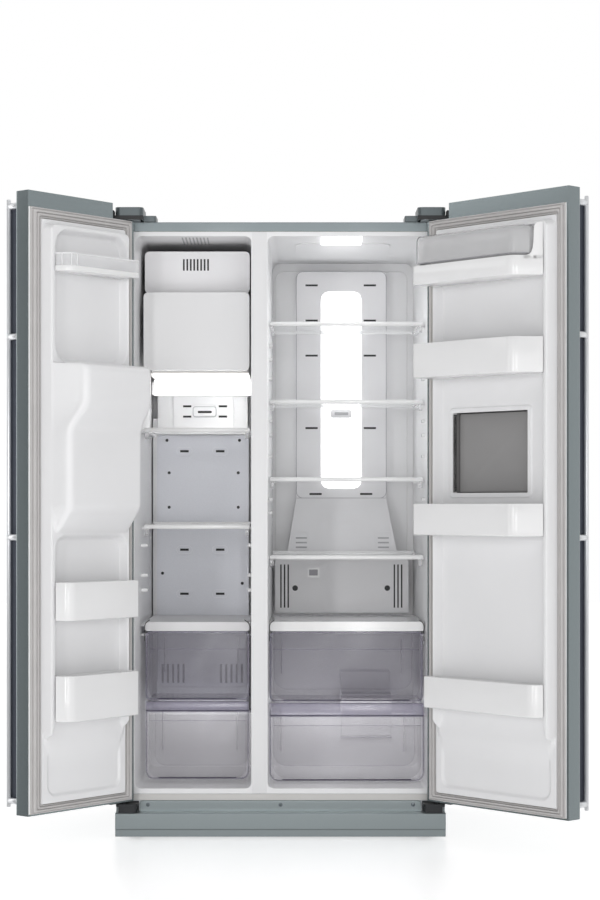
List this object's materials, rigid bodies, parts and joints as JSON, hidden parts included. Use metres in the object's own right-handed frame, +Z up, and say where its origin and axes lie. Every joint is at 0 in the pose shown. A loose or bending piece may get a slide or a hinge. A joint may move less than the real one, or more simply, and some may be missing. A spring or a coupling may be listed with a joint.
{
  "type": "side by side refrigerator",
  "caption": "Side by side refrigerator with both doors open: white shelved interiors, tinted drawers, door bins, an ice dispenser and a home bar flap.",
  "frame": {"origin": "on the floor under the middle of the bounding box, with both doors open as at rest", "axes": "+Z up; the cabinet front faces -Y; +X is to the right as seen from the front"},
  "size_m": [1.5347, 1.0406, 1.745],
  "materials": {
    "metallic_paint": "metallic grey-green paint, satin",
    "galvanised_steel": "galvanised sheet",
    "foam_insulation": "rigid foam, unfinished",
    "white_liner": "white, light gloss",
    "white_plastic": "white, gloss",
    "satin_plastic": "white, satin",
    "grey_seal": "soft vinyl, matt",
    "black_metal": "black paint",
    "black_plastic": "black, matt",
    "smoke_grey_plastic": "dark grey, satin",
    "aluminium": "satin",
    "silver_panel": "silver blue paint, satin",
    "lamp_diffuser": "opal white",
    "shelf_glass": "clear tempered glass",
    "tinted_drawer": "transparent violet-grey tint",
    "clear_plastic": "clear"
  },
  "bodies": {
    "cabinet": {"cabinet_wrapper": "metallic_paint", "back_panel": "galvanised_steel", "cabinet_insulation": "foam_insulation", "freezer_liner": "white_liner", "fridge_liner": "white_liner", "base_pan": "galvanised_steel", "base_trim": "metallic_paint", "kickplate": "metallic_paint", "top_hinge_left": "galvanised_steel", "top_hinge_right": "galvanised_steel", "hinge_cover_left": "metallic_paint", "hinge_cover_right": "metallic_paint", "bottom_hinge_left": "black_metal", "bottom_hinge_right": "black_metal", "foot_left": "black_plastic", "foot_right": "black_plastic", "compressor": "black_metal", "compressor_cover": "galvanised_steel", "evaporator": "aluminium", "freezer_panel": "silver_panel", "freezer_duct_cover": "satin_plastic", "ice_maker_cover": "white_plastic", "freezer_deck": "white_plastic", "fridge_duct_panel": "satin_plastic", "fridge_lamp_lens": "lamp_diffuser", "fridge_rear_cover": "satin_plastic", "crisper_deck": "white_plastic"},
    "rear_rollers": {"rear_rollers": "black_plastic"},
    "ice_bucket": {"ice_bucket": "white_plastic"},
    "freezer_shelf_upper": {"freezer_shelf_upper": "white_plastic"},
    "freezer_shelf_lower": {"freezer_shelf_lower": "white_plastic"},
    "freezer_drawer_upper": {"freezer_drawer_upper": "tinted_drawer"},
    "freezer_drawer_lower": {"freezer_drawer_lower": "tinted_drawer"},
    "fridge_shelf_1": {"fridge_shelf_1": "shelf_glass"},
    "fridge_shelf_2": {"fridge_shelf_2": "shelf_glass"},
    "fridge_shelf_3": {"fridge_shelf_3": "shelf_glass"},
    "fridge_shelf_4": {"fridge_shelf_4": "shelf_glass"},
    "crisper_upper": {"crisper_upper": "tinted_drawer"},
    "crisper_lower": {"crisper_lower": "tinted_drawer"},
    "freezer_door": {"freezer_door_shell": "metallic_paint", "freezer_door_insulation": "foam_insulation", "freezer_door_liner": "white_liner", "freezer_door_gasket": "grey_seal", "freezer_door_handle": "aluminium", "dispenser_housing": "smoke_grey_plastic"},
    "dispenser_lever": {"dispenser_lever": "black_plastic"},
    "freezer_bin_top": {"freezer_bin_top": "clear_plastic"},
    "freezer_bin_middle": {"freezer_bin_middle": "white_plastic"},
    "freezer_bin_bottom": {"freezer_bin_bottom": "white_plastic"},
    "fridge_door": {"fridge_door_shell": "metallic_paint", "fridge_door_insulation": "foam_insulation", "fridge_door_liner": "white_liner", "fridge_door_gasket": "grey_seal", "fridge_door_handle": "aluminium"},
    "home_bar_door": {"home_bar_door": "smoke_grey_plastic"},
    "fridge_bin_1": {"fridge_bin_1": "white_plastic"},
    "dairy_lid": {"dairy_lid": "clear_plastic"},
    "fridge_bin_2": {"fridge_bin_2": "white_plastic"},
    "fridge_bin_3": {"fridge_bin_3": "white_plastic"},
    "fridge_bin_4": {"fridge_bin_4": "white_plastic"}
  },
  "joints": [
    {"name": "freezer_door_hinge", "type": "hinge", "parent": "cabinet", "child": "freezer_door", "pos_m": [-0.4757, -0.1352, 0.9], "axis": [0, 0, -1], "range_deg": [-129.9, 5]},
    {"name": "fridge_door_hinge", "type": "hinge", "parent": "cabinet", "child": "fridge_door", "pos_m": [0.3923, -0.1352, 0.9], "axis": [0, 0, 1], "range_deg": [-132.3, 5]},
    {"name": "home_bar_hinge", "type": "hinge", "parent": "fridge_door", "child": "home_bar_door", "pos_m": [0.56434, -0.28489, 0.934], "axis": [-0.673, 0.7396, 0], "range_deg": [0, 90]},
    {"name": "dairy_lid_hinge", "type": "hinge", "parent": "fridge_bin_1", "child": "dairy_lid", "pos_m": [0.48963, -0.35287, 1.639], "axis": [-0.673, 0.7396, 0], "range_deg": [0, 62]},
    {"name": "dispenser_lever_hinge", "type": "hinge", "parent": "freezer_door", "child": "dispenser_lever", "pos_m": [-0.56335, -0.29849, 1.116], "axis": [-0.6414, -0.7672, 0], "range_deg": [0, 9], "stiffness_Nm_per_rad": 1.5},
    {"name": "rear_roller_spin", "type": "hinge", "parent": "cabinet", "child": "rear_rollers", "pos_m": [-0.0417, 0.4813, 0.022], "axis": [1, 0, 0], "continuous": true},
    {"name": "ice_bucket_slide", "type": "slide", "parent": "cabinet", "child": "ice_bucket", "axis": [0, -1, 0], "range_m": [0, 0.25]},
    {"name": "freezer_shelf_upper_slide", "type": "slide", "parent": "cabinet", "child": "freezer_shelf_upper", "axis": [0, -1, 0], "range_m": [0, 0.19]},
    {"name": "freezer_shelf_lower_slide", "type": "slide", "parent": "cabinet", "child": "freezer_shelf_lower", "axis": [0, -1, 0], "range_m": [0, 0.25]},
    {"name": "freezer_drawer_upper_slide", "type": "slide", "parent": "cabinet", "child": "freezer_drawer_upper", "axis": [0, -1, 0], "range_m": [0, 0.3]},
    {"name": "freezer_drawer_lower_slide", "type": "slide", "parent": "cabinet", "child": "freezer_drawer_lower", "axis": [0, -1, 0], "range_m": [0, 0.27]},
    {"name": "fridge_shelf_1_slide", "type": "slide", "parent": "cabinet", "child": "fridge_shelf_1", "axis": [0, -1, 0], "range_m": [0, 0.3]},
    {"name": "fridge_shelf_2_slide", "type": "slide", "parent": "cabinet", "child": "fridge_shelf_2", "axis": [0, -1, 0], "range_m": [0, 0.3]},
    {"name": "fridge_shelf_3_slide", "type": "slide", "parent": "cabinet", "child": "fridge_shelf_3", "axis": [0, -1, 0], "range_m": [0, 0.3]},
    {"name": "fridge_shelf_4_slide", "type": "slide", "parent": "cabinet", "child": "fridge_shelf_4", "axis": [0, -1, 0], "range_m": [0, 0.28]},
    {"name": "crisper_upper_slide", "type": "slide", "parent": "cabinet", "child": "crisper_upper", "axis": [0, -1, 0], "range_m": [0, 0.18]},
    {"name": "crisper_lower_slide", "type": "slide", "parent": "cabinet", "child": "crisper_lower", "axis": [0, -1, 0], "range_m": [0, 0.27]},
    {"name": "freezer_bin_top_slide", "type": "slide", "parent": "freezer_door", "child": "freezer_bin_top", "axis": [0, 0, 1], "range_m": [0, 0.012]},
    {"name": "freezer_bin_middle_slide", "type": "slide", "parent": "freezer_door", "child": "freezer_bin_middle", "axis": [0, 0, 1], "range_m": [0, 0.012]},
    {"name": "freezer_bin_bottom_slide", "type": "slide", "parent": "freezer_door", "child": "freezer_bin_bottom", "axis": [0, 0, 1], "range_m": [0, 0.012]},
    {"name": "fridge_bin_1_slide", "type": "slide", "parent": "fridge_door", "child": "fridge_bin_1", "axis": [0, 0, 1], "range_m": [0, 0.012]},
    {"name": "fridge_bin_2_slide", "type": "slide", "parent": "fridge_door", "child": "fridge_bin_2", "axis": [0, 0, 1], "range_m": [0, 0.012]},
    {"name": "fridge_bin_3_slide", "type": "slide", "parent": "fridge_door", "child": "fridge_bin_3", "axis": [0, 0, 1], "range_m": [0, 0.012]},
    {"name": "fridge_bin_4_slide", "type": "slide", "parent": "fridge_door", "child": "fridge_bin_4", "axis": [0, 0, 1], "range_m": [0, 0.012]}
  ]
}
